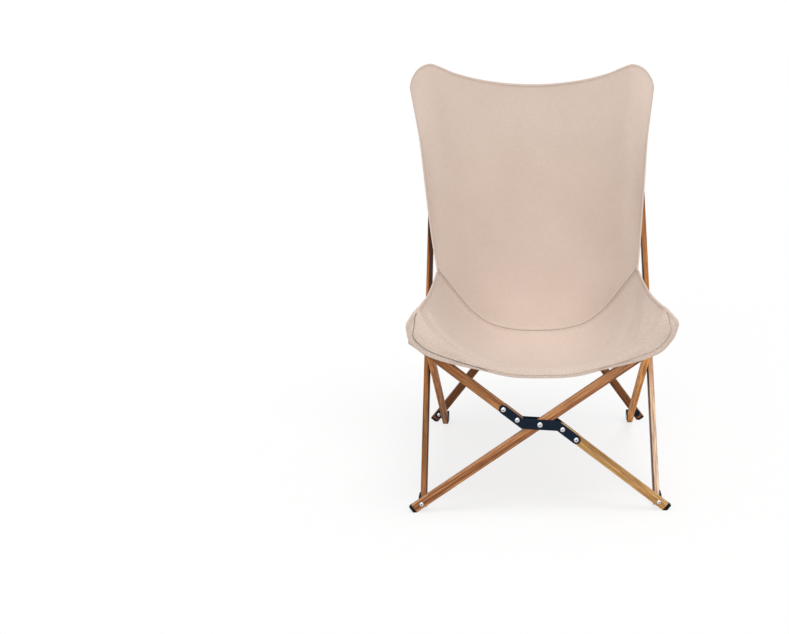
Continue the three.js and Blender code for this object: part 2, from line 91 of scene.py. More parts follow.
# %% [markdown]
# ## Floor and light
# Plain soft light: a wide one from above, a stronger one from above and slightly right, and a weak one from
# the front left. The surround is white to the camera and in reflections; the floor is mostly white there
# too and keeps the chair's shadow.

# %%
FILL = 0.2
FLOOR_WHITE = 0.76
FLOOR_RADIUS = 30.0
WHITE = (1.0, 1.0, 1.0, 1.0)
scene = bpy.context.scene
scene.view_settings.view_transform = "Standard"
scene.view_settings.look = "None"


def linear(red, green, blue):
    """Linear colour from 8-bit picture values."""
    out = []
    for value in (red, green, blue):
        share = value / 255
        out.append(share / 12.92 if share <= 0.04045 else ((share + 0.055) / 1.055) ** 2.4)
    return (*out, 1.0)


def grey(value):
    return (value, value, value, 1.0)


def plug(tree, value, socket):
    """Gives a socket a plain value, or links another socket to it."""
    if isinstance(value, bpy.types.NodeSocket):
        tree.links.new(value, socket)
    else:
        socket.default_value = value


def set_inputs(tree, node, **inputs):
    """Sets or links inputs of a shader node by name."""
    for name, value in inputs.items():
        plug(tree, value, node.inputs[name.replace("_", " ")])
    return node


def node_of(tree, kind, **inputs):
    """A new shader node with some of its inputs set or linked by name."""
    return set_inputs(tree, tree.nodes.new(kind), **inputs)


def arithmetic(tree, operation, first, second):
    """Result of a math node on two values, each a socket or a plain number."""
    node = tree.nodes.new("ShaderNodeMath")
    node.operation = operation
    for socket, value in zip(node.inputs, (first, second)):
        plug(tree, value, socket)
    return node.outputs[0]


def new_material(name):
    material = bpy.data.materials.new(name)
    material.use_nodes = True
    tree = material.node_tree
    shader = tree.nodes["Principled BSDF"]
    return material, tree, shader


def seen_white(tree):
    """Factor that is 1 for rays from the camera, in reflections and through glass, and 0 for light."""
    path = tree.nodes.new("ShaderNodeLightPath")
    total = path.outputs["Is Camera Ray"]
    for name in ("Is Glossy Ray", "Is Transmission Ray"):
        total = arithmetic(tree, "MAXIMUM", total, path.outputs[name])
    return total


def blend_shaders(tree, factor, first, second, output):
    """Mix of two shaders at the end of a material or of the surround."""
    blend = tree.nodes.new("ShaderNodeMixShader")
    for socket, value in zip(blend.inputs, (factor, first.outputs[0], second.outputs[0])):
        tree.links.new(value, socket)
    tree.links.new(blend.outputs[0], tree.nodes[output].inputs["Surface"])


def object_from(name, form):
    """Puts a finished form into the scene as a new object."""
    mesh = bpy.data.meshes.new(name)
    form.to_mesh(mesh)
    form.free()
    made = bpy.data.objects.new(name, mesh)
    bpy.context.collection.objects.link(made)
    return made


world = bpy.data.worlds.new("surround")
scene.world = world
world.use_nodes = True
sky = world.node_tree
fill = set_inputs(sky, sky.nodes["Background"], Color=(1.0, 0.99, 0.98, 1.0), Strength=FILL)
seen = node_of(sky, "ShaderNodeBackground", Color=WHITE, Strength=1.0)
blend_shaders(sky, seen_white(sky), fill, seen, "World Output")


def sun(name, way, strength, spread, colour):
    """Even light from one direction; spread is the apparent size of its source in degrees."""
    data = bpy.data.lights.new(name, "SUN")
    data.energy = strength
    data.angle = math.radians(spread)
    data.color = colour
    light = bpy.data.objects.new(name, data)
    light.location = Vector(way) * -3
    light.rotation_mode = "QUATERNION"
    light.rotation_quaternion = Vector(way).to_track_quat("-Z", "Y")
    bpy.context.collection.objects.link(light)


sun("top", (0.0, 0.15, -1.0), 0.92, 150, (1.0, 0.99, 0.985))
sun("key", (-0.14, 0.12, -1.0), 1.82, 40, (1.0, 0.985, 0.97))
sun("front", (0.32, 1.0, -0.35), 0.64, 50, (1.0, 0.99, 0.98))

floor_form = bmesh.new()
bmesh.ops.create_circle(floor_form, cap_ends=True, segments=96, radius=FLOOR_RADIUS)
floor = object_from("floor", floor_form)
floor_material, floor_tree, floor_shader = new_material("white_floor")
set_inputs(
    floor_tree, floor_shader,
    Base_Color=(0.90, 0.90, 0.905, 1.0), Roughness=0.9, Specular_IOR_Level=0.1,
)
white = node_of(floor_tree, "ShaderNodeEmission", Color=WHITE, Strength=1.0)
share = arithmetic(floor_tree, "MULTIPLY", seen_white(floor_tree), FLOOR_WHITE)
blend_shaders(floor_tree, share, floor_shader, white, "Material Output")
floor.data.materials.append(floor_material)

# %% [markdown]
# ## Wood
# Each bar has its own material, because the grain runs along the bar: the object's coordinates are turned
# until the first axis lies along it. Long streaks, fine pores and a slow change of tone make up the colour.
# No two bars have quite the same tone, and some change from a low to a high place. Some of these tones are
# painted light: painted shade on the rear bars, a painted shadow of the sling on the upper parts of the
# front bars, and a painted highlight on the low part of the right back pole. The back poles have painted
# shade on their inner side, by a share of their width that changes with the height.

# %%
WOOD_DARK = linear(142, 92, 56)
WOOD_MIDDLE = linear(180, 124, 82)
WOOD_LIGHT = linear(206, 152, 104)
# Tones multiplied into each bar's grain: one for the whole bar, or a low one and a high one. Some are the
# wood's own tone and some are painted light. The dark tones of the rear bars are painted shade. The high
# tones of front_cross_bar and front_split_bar_upper are a painted shadow of the sling. The low tone of
# right_back_pole is a painted highlight.
BAR_TONES_AND_PAINTED_LIGHT = {
    "front_split_bar_lower": ((1.25, 1.60, 1.48, 1),),
    "front_split_bar_upper": ((1.05, 1.10, 1.05, 1), (0.66, 0.58, 0.52, 1)),
    "front_cross_bar": ((1.06, 1.06, 1.08, 1), (0.74, 0.72, 0.76, 1)),
    "rear_cross_bar": ((0.36, 0.31, 0.27, 1),),
    "rear_split_bar_lower": ((0.46, 0.40, 0.34, 1),),
    "left_back_pole": ((0.78, 0.76, 0.68, 1), (1.05, 0.82, 0.30, 1)),
    "right_back_pole": ((1.75, 2.80, 5.00, 1), (0.82, 0.66, 0.36, 1)),
    "left_side_leg": ((0.86, 0.76, 0.62, 1),),
    "right_side_leg": ((1.60, 1.62, 1.08, 1),),
}
TONE_LOW, TONE_HIGH = 0.16, 0.34
VARNISH, DULL = 0.15, 0.02
# Painted shade on the inner side of each back pole: the side (-1 left, 1 right), then heights, each with
# the share of the pole's width, from its inner face, that is shaded.
POLE_PAINTED_SHADE = {
    "left_back_pole": (-1, ((0.16, 0.10), (0.34, 0.52), (0.49, 0.55), (0.555, 1.0))),
    "right_back_pole": (1, ((0.16, 0.14), (0.34, 0.17))),
}
# Colours of the painted shade, low and high on the poles.
PAINTED_SHADE_LOW, PAINTED_SHADE_HIGH = (0.30, 0.27, 0.32, 1), (0.12, 0.09, 0.10, 1)
POLE_INNER, POLE_OUTER = 0.251, 0.265
EDGE_BLUR = 0.08


def noise_of(tree, source, scale, detail, roughness):
    """Noise in the given coordinates; the scale is in cycles per metre."""
    texture = node_of(
        tree, "ShaderNodeTexNoise", Vector=source, Scale=scale, Detail=detail, Roughness=roughness,
    )
    return texture.outputs["Fac"]


def stretched_noise(tree, source, along, across, detail, place):
    """Noise that is drawn out along the first axis; the two sizes are in cycles per metre."""
    mapping = node_of(
        tree, "ShaderNodeMapping", Vector=source, Scale=(along, across, across), Location=place,
    )
    return noise_of(tree, mapping.outputs["Vector"], 1.0, detail, 0.6)


def ramp(tree, source, *stops):
    node = tree.nodes.new("ShaderNodeValToRGB")
    while len(node.color_ramp.elements) < len(stops):
        node.color_ramp.elements.new(0.5)
    for element, (place, colour) in zip(node.color_ramp.elements, stops):
        element.position = place
        element.color = colour
    tree.links.new(source, node.inputs["Fac"])
    return node.outputs["Color"]


def mixed(tree, factor, first, second, mode="MIX"):
    """Colour mix; each of the three can be a socket or a plain value."""
    node = tree.nodes.new("ShaderNodeMix")
    node.data_type = "RGBA"
    node.blend_type = mode
    for slot, value in ((0, factor), (6, first), (7, second)):
        plug(tree, value, node.inputs[slot])
    return node.outputs[2]


def object_place(tree):
    return tree.nodes.new("ShaderNodeTexCoord").outputs["Object"]


def relief(tree, height, strength, depth):
    """Normal of a fine relief; the depth is in metres."""
    bump = node_of(tree, "ShaderNodeBump", Height=height, Strength=strength, Distance=depth)
    return bump.outputs["Normal"]


def pole_tone_with_painted_shade(tree, axes, node, tone):
    """The tone of a back pole with painted shade on its inner side."""
    hand, edges = POLE_PAINTED_SHADE[node]
    inner, outer = hand * POLE_INNER, hand * POLE_OUTER
    across = node_of(tree, "ShaderNodeMapRange", Value=axes["X"], From_Min=inner, From_Max=outer)
    edge = ramp(tree, axes["Z"], *((z, grey(wide)) for z, wide in edges))
    past = arithmetic(tree, "SUBTRACT", across.outputs["Result"], edge)
    lit = ramp(tree, past, (0.0, grey(0.0)), (EDGE_BLUR, WHITE))
    # painted shade, deeper higher up where the sling shades the poles
    dark = ramp(tree, axes["Z"], (TONE_LOW, PAINTED_SHADE_LOW), (TONE_HIGH, PAINTED_SHADE_HIGH))
    return mixed(tree, 1.0, tone, mixed(tree, lit, dark, WHITE), "MULTIPLY")


def wood(node, along, seed):
    material, tree, shader = new_material(f"wood_{node}")
    along = Vector(along).normalized()
    side = along.orthogonal().normalized()
    turned = Matrix((along, side, along.cross(side))).to_euler()
    place = (seed * 1.7, seed * 0.61, seed * 0.37)
    coordinates = object_place(tree)
    grain = node_of(tree, "ShaderNodeMapping", Vector=coordinates, Rotation=turned, Location=place)
    source = grain.outputs["Vector"]
    streaks = stretched_noise(tree, source, 2.4, 240.0, 4.0, (0, 0, 0))
    pores = stretched_noise(tree, source, 12.0, 520.0, 2.0, (3, 1, 2))
    slow = stretched_noise(tree, source, 4.0, 14.0, 1.0, (7, 5, 1))
    flecks = stretched_noise(tree, source, 24.0, 330.0, 2.0, (1, 4, 2))
    colour = ramp(tree, streaks, (0.36, WOOD_DARK), (0.47, WOOD_MIDDLE), (0.60, WOOD_LIGHT))
    shade = ramp(tree, slow, (0.3, (0.80, 0.76, 0.72, 1)), (0.7, (1.12, 1.10, 1.06, 1)))
    colour = mixed(tree, 1.0, colour, shade, "MULTIPLY")
    # bar tone: the wood's own tone, or painted shade or a painted highlight for the bars listed above
    tones_and_light = BAR_TONES_AND_PAINTED_LIGHT.get(node, (WHITE,))
    tone = tones_and_light[0]
    if len(tones_and_light) > 1:
        axes = node_of(tree, "ShaderNodeSeparateXYZ", Vector=coordinates).outputs
        tone = ramp(tree, axes["Z"], (TONE_LOW, tones_and_light[0]), (TONE_HIGH, tones_and_light[1]))
        if node in POLE_PAINTED_SHADE:
            tone = pole_tone_with_painted_shade(tree, axes, node, tone)
    colour = mixed(tree, 1.0, colour, tone, "MULTIPLY")
    light = (1.14, 1.14, 1.10, 1)
    fleck = ramp(tree, flecks, (0.36, (0.74, 0.68, 0.64, 1)), (0.52, WHITE), (0.66, light))
    colour = mixed(tree, 1.0, colour, fleck, "MULTIPLY")
    fine = ramp(tree, pores, (0.36, (0.42, 0.36, 0.32, 1)), (0.5, WHITE))
    set_inputs(
        tree, shader,
        Base_Color=mixed(tree, 0.7, colour, fine, "MULTIPLY"),
        Roughness=ramp(tree, streaks, (0.3, grey(0.46)), (0.7, grey(0.34))),
        Specular_IOR_Level=DULL if node.endswith("_leg") else VARNISH,
        Normal=relief(tree, pores, 0.25, 0.0004),
    )
    return material


def paint(node, material):
    """Gives a CAD node one material in place of its plain one."""
    slots = nodes[node].material_slots
    for slot in slots:
        slot.material = material
    if not slots:
        nodes[node].data.materials.append(material)


SPAN, SEAT_RISE, SLOPE = 0.520, 0.365, math.radians(51.6)
PIN_HEIGHT, PIN_BACK, POLE_X, LEG_X = 0.020, 0.036, 0.258, 0.242
FRONT_ANGLE = math.atan2(SEAT_RISE, SPAN)
pole_along = (0, math.cos(SLOPE), math.sin(SLOPE))
leg_along = (0, -math.cos(FRONT_ANGLE), math.sin(FRONT_ANGLE))
HALF_ASIDE = 0.022
wood_seed = 1
for name, angle, length in (
    ("front", FRONT_ANGLE, math.hypot(SPAN, SEAT_RISE)),
    ("rear", SLOPE, SPAN / math.cos(SLOPE)),
):
    lean = math.asin(HALF_ASIDE / (length / 2))
    whole = (math.cos(angle), 0, math.sin(angle))
    split = (-math.cos(angle + lean), 0, math.sin(angle + lean))
    for node, along in (("cross_bar", whole), ("split_bar_upper", split), ("split_bar_lower", split)):
        paint(f"{name}_{node}", wood(f"{name}_{node}", along, wood_seed))
        wood_seed += 1
for side in ("left", "right"):
    for node, along in (("back_pole", pole_along), ("side_leg", leg_along)):
        paint(f"{side}_{node}", wood(f"{side}_{node}", along, wood_seed))
        wood_seed += 1

# %% [markdown]
# ## Painted steel and foot caps
# Plates and brackets have a dark blue-black powder coat with a fine texture; the caps are matt black
# plastic.

# %%
COAT_SHINE, COAT_RELIEF = 0.10, 0.0002


def speckled(name, base, light, roughness, grain):
    """Paint or moulded plastic: a fine even texture in colour, gloss and bump."""
    material, tree, shader = new_material(name)
    coordinates = object_place(tree)
    fine = noise_of(tree, coordinates, grain, 3.0, 0.55)
    wide = noise_of(tree, coordinates, 38.0, 2.0, 0.5)
    set_inputs(
        tree, shader,
        Base_Color=ramp(tree, wide, (0.35, base), (0.7, light)),
        Roughness=ramp(tree, fine, (0.3, grey(roughness - 0.06)), (0.7, grey(roughness + 0.1))),
        Specular_IOR_Level=COAT_SHINE,
        Normal=relief(tree, fine, 0.3, COAT_RELIEF),
    )
    return material


plate_paint = speckled("plate_paint", linear(12, 26, 40), linear(18, 33, 48), 0.5, 900.0)
cap_plastic = speckled("cap_plastic", linear(13, 13, 14), linear(25, 25, 26), 0.6, 1400.0)
for node in nodes:
    if node.endswith("_bracket") or "_plate_outer" in node or "_plate_inner" in node:
        paint(node, plate_paint)
    elif node.endswith("_foot"):
        paint(node, cap_plastic)

# %% [markdown]
# ## Rivets
# Each rivet is turned from a profile: a shank and two low domed heads with a small flat rim and a hollow
# middle. The rivets at the three pivots where the linkage is open have one head.

# %%
SEGMENTS = 36
HOLLOW, CROWN, RIM = 0.36, 0.96, 0.16
SHANK = 0.6
HEAD_HEIGHT, HOLLOW_DEPTH, HEAD_HOLLOW = 0.0026, 0.006, 0.0022
body_of = {node: body for body, listed in frame["record"]["behaviour"]["bodies"].items() for node in listed}
rivet_finish, metal_tree, metal_shader = new_material("rivet_metal")
scuffs = noise_of(metal_tree, object_place(metal_tree), 420.0, 4.0, 0.7)
set_inputs(
    metal_tree, metal_shader, Metallic=1.0,
    Base_Color=ramp(metal_tree, scuffs, (0.3, linear(176, 178, 182)), (0.7, linear(222, 223, 226))),
    Roughness=ramp(metal_tree, scuffs, (0.35, grey(0.34)), (0.7, grey(0.2))),
)


def dome(radius, height, depth):
    """Half profile of a head, from its rim to the floor of its hollow: pairs of radius and height."""
    points = [(radius, 0.0), (radius, height * RIM)]
    last = math.acos(HOLLOW / CROWN)
    for step in range(1, 9):
        angle = step / 8 * last
        rise = 0.2 + 0.8 * math.sin(angle) / math.sin(last)
        points.append((radius * math.cos(angle) * CROWN, height * rise))
    points.append((radius * (HOLLOW - 0.06), height - 0.0004))
    points.append((radius * (HOLLOW - 0.08), height - depth))
    points.append((0.0, height - depth))
    return points


def turned_piece(name, profile, centre, axis):
    """Closed solid of revolution: the profile starts and ends on the axis."""
    form = bmesh.new()
    line = [form.verts.new((radius, 0.0, height)) for radius, height in profile]
    edges = [form.edges.new(pair) for pair in zip(line, line[1:])]
    bmesh.ops.spin(
        form, geom=line + edges, cent=(0, 0, 0), axis=(0, 0, 1),
        angle=2 * math.pi, steps=SEGMENTS, use_merge=True,
    )
    bmesh.ops.remove_doubles(form, verts=form.verts, dist=1e-7)
    bmesh.ops.recalc_face_normals(form, faces=form.faces)
    place = Vector(axis).to_track_quat("Z", "Y").to_matrix().to_4x4()
    place.translation = centre
    bmesh.ops.transform(form, matrix=place, verts=form.verts)
    for face in form.faces:
        face.smooth = True
    for edge in form.edges:
        if edge.calc_face_angle(0.0) > math.radians(50):
            edge.smooth = False
    return object_from(name, form)


def dress_rivet(node):
    low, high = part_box(node)
    size = high - low
    axis = (1, 0, 0) if abs(size.y - size.z) < 1e-5 else (0, 1, 0)
    half = (size.x if axis[0] else size.y) / 2
    radius = size.z / 2
    shank = radius * SHANK
    head = [(r, half - HEAD_HEIGHT + h) for r, h in dome(radius, HEAD_HEIGHT, HOLLOW_DEPTH)]
    profile = [(shank, head[0][1])] + head
    if "back_" in node or node == "rear_right_bar_rivet":
        profile = [(0.0, -half), (shank, -half)] + profile
    else:
        profile = [(r, -h) for r, h in reversed(profile)] + profile
    piece = turned_piece(f"{node}_turned", profile, (low + high) / 2, axis)
    piece.data.materials.append(rivet_finish)
    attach(piece, body_of[node])
    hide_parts(node)


for node in list(nodes):
    if "rivet" in node or "bolt" in node:
        dress_rivet(node)

# %% [markdown]
# The brackets at the seat corners and at the back carry rivets of their own. Each head there gets a bright
# dome.

# %%
HEAD_RADIUS, HEAD_SEAT_NEAR, HEAD_SEAT_FAR = 0.0052, 0.0073, 0.0096
HEAD_COVER = 0.0002
HALF_SPAN = SPAN / 2
FOOT_Y = FRONT_Y + PIN_BACK + SPAN
SEAT_PIN = PIN_HEIGHT + SEAT_RISE
BACK_PIN = PIN_HEIGHT + SPAN * math.tan(SLOPE)


def dress_head(bracket, number, place, way):
    profile = [(0.0, 0.0)] + dome(HEAD_RADIUS, HEAD_HEIGHT + HEAD_COVER, HEAD_HOLLOW)
    piece = turned_piece(f"{bracket}_head_{number}", profile, Vector(place), way)
    piece.data.materials.append(rivet_finish)
    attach(piece, body_of[bracket])


for side, hand in (("left", -1), ("right", 1)):
    seat, back = f"seat_{side}_bracket", f"back_{side}_bracket"
    leg, pole = hand * LEG_X, hand * POLE_X
    corner_y = FRONT_Y + PIN_BACK
    dress_head(seat, 1, (hand * HALF_SPAN, FRONT_Y - HEAD_SEAT_NEAR, SEAT_PIN), (0, -1, 0))
    dress_head(seat, 2, (hand * HALF_SPAN, FRONT_Y + HEAD_SEAT_FAR, SEAT_PIN), (0, 1, 0))
    dress_head(seat, 3, (leg + hand * HEAD_SEAT_NEAR, corner_y, SEAT_PIN), (hand, 0, 0))
    dress_head(seat, 4, (leg - hand * HEAD_SEAT_FAR, corner_y, SEAT_PIN), (-hand, 0, 0))
    dress_head(back, 1, (pole - hand * HEAD_SEAT_NEAR, FOOT_Y, BACK_PIN), (-hand, 0, 0))
    dress_head(back, 2, (pole + hand * HEAD_SEAT_FAR, FOOT_Y, BACK_PIN), (hand, 0, 0))

# %% [markdown]
# ## The sling's lines
# The sling hangs between the corners past the front cross and the tips of the back poles. A point of a line
# is a share of their half width, a share of the way from a seat corner to its pole tip, and a drop in
# millimetres square to that way. Half of each line is given; the other half mirrors it.

# %%
TIP_PAST_SEAT, CORNER_PAST_SEAT, POLE_TIP_RISE = 0.018, 0.030, 0.880
FRONT_MIDDLE = np.array((0.0, FRONT_Y, PIN_HEIGHT + SEAT_RISE / 2))
FRONT_HALF = math.hypot(SPAN, SEAT_RISE) / 2
right_way = np.array((math.cos(FRONT_ANGLE), 0.0, math.sin(FRONT_ANGLE)))
SEAT_CORNER = FRONT_MIDDLE + right_way * (FRONT_HALF + CORNER_PAST_SEAT)
tip_y = FRONT_Y + PIN_BACK + POLE_TIP_RISE / math.tan(SLOPE)
POLE_TIP = np.array((POLE_X, tip_y, PIN_HEIGHT + POLE_TIP_RISE))
POLE_WAY = np.array((0.0, math.cos(SLOPE), math.sin(SLOPE)))
POLE_BACK = np.array((0.0, math.sin(SLOPE), -math.cos(SLOPE)))
CHORD = POLE_TIP - SEAT_CORNER
DROP_WAY = np.array((0.0, CHORD[2], -CHORD[1])) / math.hypot(CHORD[1], CHORD[2])

TOP_EDGE = [
    (0, 0.988, 34), (0.271, 0.988, 29), (0.542, 0.989, 16), (0.775, 0.993, -2), (0.915, 0.998, -18),
    (1.01, 0.996, -28.5), (1.115, 0.977, -26), (1.174, 0.949, -14), (1.19, 0.924, -2.5),
]
SEAM = [
    (0, 0.306, 311), (0.217, 0.306, 306), (0.416, 0.307, 285), (0.572, 0.314, 245), (0.68, 0.319, 196),
    (0.77, 0.319, 143), (0.845, 0.315, 95.5),
]
CREST = [
    (0, -0.039, 83), (0.245, -0.038, 78), (0.456, -0.03, 60.5), (0.667, -0.015, 34.5), (0.801, 0, 10),
    (0.901, 0.012, -9), (1.004, 0.02, -26.5),
]
FRONT_EDGE = [
    (0, -0.0585, 84.5), (0.245, -0.058, 80), (0.455, -0.0535, 62.5), (0.665, -0.05, 44.5),
    (0.805, -0.0445, 31), (0.904, -0.035, 20), (0.978, -0.02, 1), (1.012, 0.003, -24.5),
]
BACK_SIDE = [
    (1.19, 0.924, -2.5), (1.121, 0.822, 16), (1.062, 0.735, 33), (1.004, 0.621, 62), (0.927, 0.468, 104.5),
    (0.845, 0.315, 95.5),
]
SEAT_SIDE = [
    (0.845, 0.315, 95.5), (0.862, 0.243, 70.5), (0.89, 0.163, 36.5), (0.942, 0.084, -2.5),
    (1.004, 0.02, -26.5),
]
BACK_MIDDLE = [
    (0, 0.988, 34), (0, 0.868, 95.5), (0, 0.723, 169), (0, 0.574, 239), (0, 0.438, 288.5), (0, 0.306, 311),
]
SEAT_MIDDLE = [(0, 0.306, 311), (0, 0.203, 269.5), (0, 0.092, 200.5), (0, 0.009, 130.5), (0, -0.039, 83)]
ASKEW_WAY, ASKEW_SHIFT = (0.0, 0.12, 1.0), (0.007, 0.002, -0.010)
RIGHT_EAR_DROP = 0.005
SPLINE_STEPS = 60


def hung(point):
    share, way, drop = point
    place = SEAT_CORNER + CHORD * way + DROP_WAY * drop / 1000
    return place * (share, 1, 1)


def askew(points):
    """The cloth hangs a little right at the seat, left at the back, and lower at the right ear."""
    way = (points - SEAT_CORNER)[..., 1:] @ CHORD[1:] / (CHORD[1:] @ CHORD[1:])
    out = np.array(points, float)
    ear = np.clip(points[..., 0] / POLE_X, 0, 1) * np.clip(way, 0, 1) ** 2
    out[..., 0] += np.interp(way, ASKEW_WAY, ASKEW_SHIFT)
    out -= RIGHT_EAR_DROP * ear[..., None] * POLE_WAY
    return out


def run_of(line):
    """Length along a line up to each of its points."""
    return np.concatenate(([0], np.cumsum(np.linalg.norm(np.diff(line, axis=0), axis=1))))


def sampled(line, run, marks):
    """Points of a line where its run has the given values."""
    return np.stack([np.interp(marks, run, line[:, k]) for k in range(line.shape[1])], axis=-1)


def spline(points):
    """Smooth curve through the points, as a function of the share of its length."""
    points = [np.asarray(p, float) for p in points]
    points = [2 * points[0] - points[1]] + points + [2 * points[-1] - points[-2]]
    line = []
    for p0, p1, p2, p3 in zip(points, points[1:], points[2:], points[3:]):
        k0, k1, k2 = (max(np.linalg.norm(b - a), 1e-6) ** 0.5 for a, b in ((p0, p1), (p1, p2), (p2, p3)))
        leave = ((p1 - p0) / k0 - (p2 - p0) / (k0 + k1) + (p2 - p1) / k1) * k1
        arrive = ((p2 - p1) / k1 - (p3 - p1) / (k1 + k2) + (p3 - p2) / k2) * k1
        for t in np.linspace(0, 1, SPLINE_STEPS, endpoint=False):
            line.append(
                (2 * t**3 - 3 * t**2 + 1) * p1 + (t**3 - 2 * t**2 + t) * leave
                + (3 * t**2 - 2 * t**3) * p2 + (t**3 - t**2) * arrive
            )
    line.append(points[-2])
    line = np.array(line)
    run = run_of(line)
    run /= run[-1]
    return lambda t: sampled(line, run, t)


def across(points):
    half = [hung(p) for p in points]
    whole = spline([p * (-1, 1, 1) for p in reversed(half[1:])] + half)
    return lambda u: whole(0.5 + np.asarray(u) / 2)


def along(points):
    return spline([hung(p) for p in points])


def surface(first, last, middle, side):
    """Surface through two lines across the chair and through its middle and side lines."""
    def at(u, s):
        u, s = np.broadcast_arrays(np.asarray(u, float), np.asarray(s, float))
        hand = np.stack([np.where(u < 0, -1.0, 1.0), np.ones_like(u), np.ones_like(u)], axis=-1)
        w = (u * u)[..., None]
        t = s[..., None]
        rows = first(u) * (1 - t) + last(u) * t
        columns = middle(s) * (1 - w) + side(s) * hand * w
        upper = first(np.zeros_like(u)) * (1 - w) + first(np.ones_like(u)) * hand * w
        lower = last(np.zeros_like(u)) * (1 - w) + last(np.ones_like(u)) * hand * w
        return rows + columns - upper * (1 - t) - lower * t
    return at


top_edge, seam, crest, front_edge = across(TOP_EDGE), across(SEAM), across(CREST), across(FRONT_EDGE)
back_surface = surface(top_edge, seam, along(BACK_MIDDLE), along(BACK_SIDE))
seat_surface = surface(seam, crest, along(SEAT_MIDDLE), along(SEAT_SIDE))


def hem_surface(u, s):
    """The front hem rolls over the crest and hangs down to the front edge."""
    u, s = np.broadcast_arrays(np.asarray(u, float), np.asarray(s, float))
    a, c = crest(u), front_edge(u)
    b = np.stack([(a[..., 0] + c[..., 0]) / 2, c[..., 1], a[..., 2]], axis=-1)
    t = s[..., None]
    return a * (1 - t) ** 2 + b * 2 * t * (1 - t) + c * t**2


# %% [markdown]
# ## Canvas
# Plain-woven canvas: two crossing sets of yarns in the flat coordinates of each panel, uneven yarns, a nap
# and a slow change of tone. The seat's nap is coarser. The seam thread is a darker twist, made darker still
# as painted shade of the seam's groove.

# %%
YARN = 0.0009
CANVAS_BASE, CANVAS_LIGHT = linear(208, 190, 178), linear(214, 197, 185)


def canvas(name, nap_scale, nap_low, nap_high):
    material, tree, shader = new_material(name)
    flat = tree.nodes.new("ShaderNodeUVMap")
    flat.uv_map = "flat"
    place = flat.outputs["UV"]
    heights = []
    for direction in ("X", "Y"):
        wave = node_of(
            tree, "ShaderNodeTexWave", Vector=place,
            Scale=1 / YARN / 20 * math.pi, Distortion=1.2, Detail=2.0,
        )
        wave.wave_type = "BANDS"
        wave.bands_direction = direction
        heights.append(wave.outputs["Fac"])
    weave = arithmetic(tree, "MAXIMUM", *heights)
    wide = noise_of(tree, place, 5.0, 3.0, 0.5)
    colour = ramp(tree, wide, (0.3, CANVAS_BASE), (0.7, CANVAS_LIGHT))
    nap = noise_of(tree, place, nap_scale, 3.0, 0.7)
    speckle = ramp(tree, nap, (0.35, nap_low), (0.65, nap_high))
    colour = mixed(tree, 0.8, colour, speckle, "MULTIPLY")
    for scale in ((40, 900, 1), (900, 40, 1)):
        mapping = node_of(tree, "ShaderNodeMapping", Vector=place, Scale=scale)
        slub = noise_of(tree, mapping.outputs["Vector"], 1.0, 2.0, 0.5)
        streak = ramp(tree, slub, (0.3, (0.93, 0.92, 0.91, 1)), (0.65, grey(1.02)))
        colour = mixed(tree, 0.7, colour, streak, "MULTIPLY")
    gaps = ramp(tree, weave, (0.0, (0.82, 0.80, 0.78, 1)), (0.6, WHITE))
    set_inputs(
        tree, shader,
        Base_Color=mixed(tree, 0.5, colour, gaps, "MULTIPLY"),
        Roughness=ramp(tree, wide, (0.3, grey(0.86)), (0.7, grey(0.95))),
        Specular_IOR_Level=0.25, Sheen_Weight=0.25, Sheen_Roughness=0.5,
        Normal=relief(tree, weave, 0.35, 0.0003),
    )
    return material


def thread(name, dark, light):
    material, tree, shader = new_material(name)
    twist = noise_of(tree, object_place(tree), 2600.0, 2.0, 0.6)
    set_inputs(tree, shader, Base_Color=ramp(tree, twist, (0.3, dark), (0.7, light)), Roughness=0.7)
    return material


canvas_finish = canvas("beige_canvas", 420.0, (0.90, 0.89, 0.88, 1), grey(1.06))
seat_finish = canvas("seat_canvas", 230.0, (0.88, 0.87, 0.86, 1), grey(1.09))
# the seam thread's dark colour is partly its own and partly painted shade of the seam's groove
seam_thread_and_shade = thread("seam_thread_and_shade", linear(52, 43, 37), linear(78, 66, 58))
hem_thread = thread("hem_thread", linear(156, 136, 119), linear(184, 164, 147))

# %% [markdown]
# ## Panels
# A panel is a closed sheet with two faces. Its rows and columns crowd at the borders, so that the hems are
# thicker and their folded edges are round. Soft creases and a slow unevenness lift the cloth off its smooth
# surface.

# %%
CLOTH = 0.0016
HEM = 0.0085
SEAM_ALLOWANCE = 0.008
HEM_GAIN, SEAM_GAIN = 1.1, 0.55
BORDER = np.array((0.0, 0.25, 0.6, 1.0, 1.7, 3.0, 4.8, 6.2, 7.2, 8.2, 9.4, 11.5, 15.0)) / 1000
HEM_SHARE = 0.07
SLING_WIDE, BACK_DEEP, SEAT_HALF, SEAT_DEEP = 0.55, 0.80, 0.27, 0.48
FOLD_POINTS = 60
SEAM_ROLL_AT, SEAM_ROLL_WIDE = 0.0052, 0.0042


def stations(length, count, start, end):
    """Shares of a length from 0 to 1, crowded at the ends that have a border."""
    inner = np.linspace(0, 1, count + 1)[1:-1]
    edge = BORDER / length
    low = edge[-1] * 1.15 if start else 0
    high = 1 - edge[-1] * 1.15 if end else 1
    parts = [np.array((0.0, 1.0)), inner[(inner > low) & (inner < high)]]
    if start:
        parts.append(edge)
    if end:
        parts.append(1 - edge)
    return np.unique(np.round(np.concatenate(parts), 7))


def smooth_step(value, low, high):
    t = np.clip((value - low) / (high - low), 0, 1)
    return t * t * (3 - 2 * t)


